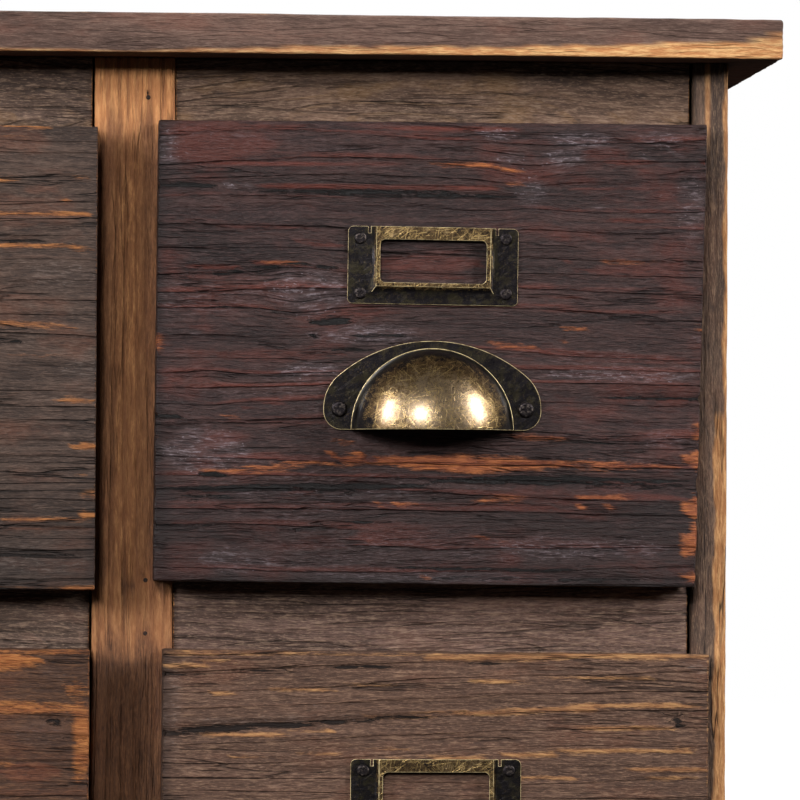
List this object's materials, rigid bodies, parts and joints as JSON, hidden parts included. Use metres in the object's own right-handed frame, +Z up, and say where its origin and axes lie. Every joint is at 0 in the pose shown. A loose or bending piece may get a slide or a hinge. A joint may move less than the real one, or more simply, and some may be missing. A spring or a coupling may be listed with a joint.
{
  "type": "apothecary chest",
  "caption": "Low wooden apothecary chest with drawers in rows, an overhanging plank top, lapped drawer fronts, brass cup pulls and card holders.",
  "frame": {"origin": "on the surface the chest stands on, under the middle of its bounding box", "axes": "+X along the front to the right, +Y from the front to the back, +Z up"},
  "size_m": [0.712, 0.3222, 0.4427],
  "materials": {
    "top_wood": "worn dark stain over old timber",
    "frame_wood": "worn brown stain over old timber",
    "side_wood": "worn brown stain over old timber",
    "drawer_front_wood": "dark waxed old timber with warm streaks",
    "box_wood": "bare planed softwood",
    "thin_board": "bare thin board",
    "aged_brass": "antique brass, rubbed bright on the edges",
    "dark_screws": "blackened"
  },
  "bodies": {
    "case": {"top_front_board": "top_wood", "top_back_board": "top_wood", "top_rails": "frame_wood", "middle_rails": "frame_wood", "bottom_rails": "frame_wood", "floor_board": "box_wood", "partition_runners": "box_wood", "guides": "box_wood", "side_runners": "box_wood", "side_left": "side_wood", "stile_left": "frame_wood", "partition_left": "box_wood", "side_right": "side_wood", "stile_right": "frame_wood", "partition_right": "box_wood", "back_panel": "thin_board"},
    "lower_left_drawer": {"lower_left_front": "drawer_front_wood", "lower_left_sides": "box_wood", "lower_left_ends": "box_wood", "lower_left_bottom": "thin_board", "lower_left_pull": "aged_brass", "lower_left_pull_screws": "dark_screws", "lower_left_card_holder": "aged_brass"},
    "lower_middle_drawer": {"lower_middle_front": "drawer_front_wood", "lower_middle_sides": "box_wood", "lower_middle_ends": "box_wood", "lower_middle_bottom": "thin_board", "lower_middle_pull": "aged_brass", "lower_middle_pull_screws": "dark_screws", "lower_middle_card_holder": "aged_brass"},
    "lower_right_drawer": {"lower_right_front": "drawer_front_wood", "lower_right_sides": "box_wood", "lower_right_ends": "box_wood", "lower_right_bottom": "thin_board", "lower_right_pull": "aged_brass", "lower_right_pull_screws": "dark_screws", "lower_right_card_holder": "aged_brass"},
    "upper_left_drawer": {"upper_left_front": "drawer_front_wood", "upper_left_sides": "box_wood", "upper_left_ends": "box_wood", "upper_left_bottom": "thin_board", "upper_left_pull": "aged_brass", "upper_left_pull_screws": "dark_screws", "upper_left_card_holder": "aged_brass"},
    "upper_middle_drawer": {"upper_middle_front": "drawer_front_wood", "upper_middle_sides": "box_wood", "upper_middle_ends": "box_wood", "upper_middle_bottom": "thin_board", "upper_middle_pull": "aged_brass", "upper_middle_pull_screws": "dark_screws", "upper_middle_card_holder": "aged_brass"},
    "upper_right_drawer": {"upper_right_front": "drawer_front_wood", "upper_right_sides": "box_wood", "upper_right_ends": "box_wood", "upper_right_bottom": "thin_board", "upper_right_pull": "aged_brass", "upper_right_pull_screws": "dark_screws", "upper_right_card_holder": "aged_brass"}
  },
  "joints": [
    {"name": "lower_left_slide", "type": "slide", "parent": "case", "child": "lower_left_drawer", "axis": [0, -1, 0], "range_m": [0, 0.24]},
    {"name": "lower_middle_slide", "type": "slide", "parent": "case", "child": "lower_middle_drawer", "axis": [0, -1, 0], "range_m": [0, 0.24]},
    {"name": "lower_right_slide", "type": "slide", "parent": "case", "child": "lower_right_drawer", "axis": [0, -1, 0], "range_m": [0, 0.24]},
    {"name": "upper_left_slide", "type": "slide", "parent": "case", "child": "upper_left_drawer", "axis": [0, -1, 0], "range_m": [0, 0.24]},
    {"name": "upper_middle_slide", "type": "slide", "parent": "case", "child": "upper_middle_drawer", "axis": [0, -1, 0], "range_m": [0, 0.24]},
    {"name": "upper_right_slide", "type": "slide", "parent": "case", "child": "upper_right_drawer", "axis": [0, -1, 0], "range_m": [0, 0.24]}
  ]
}
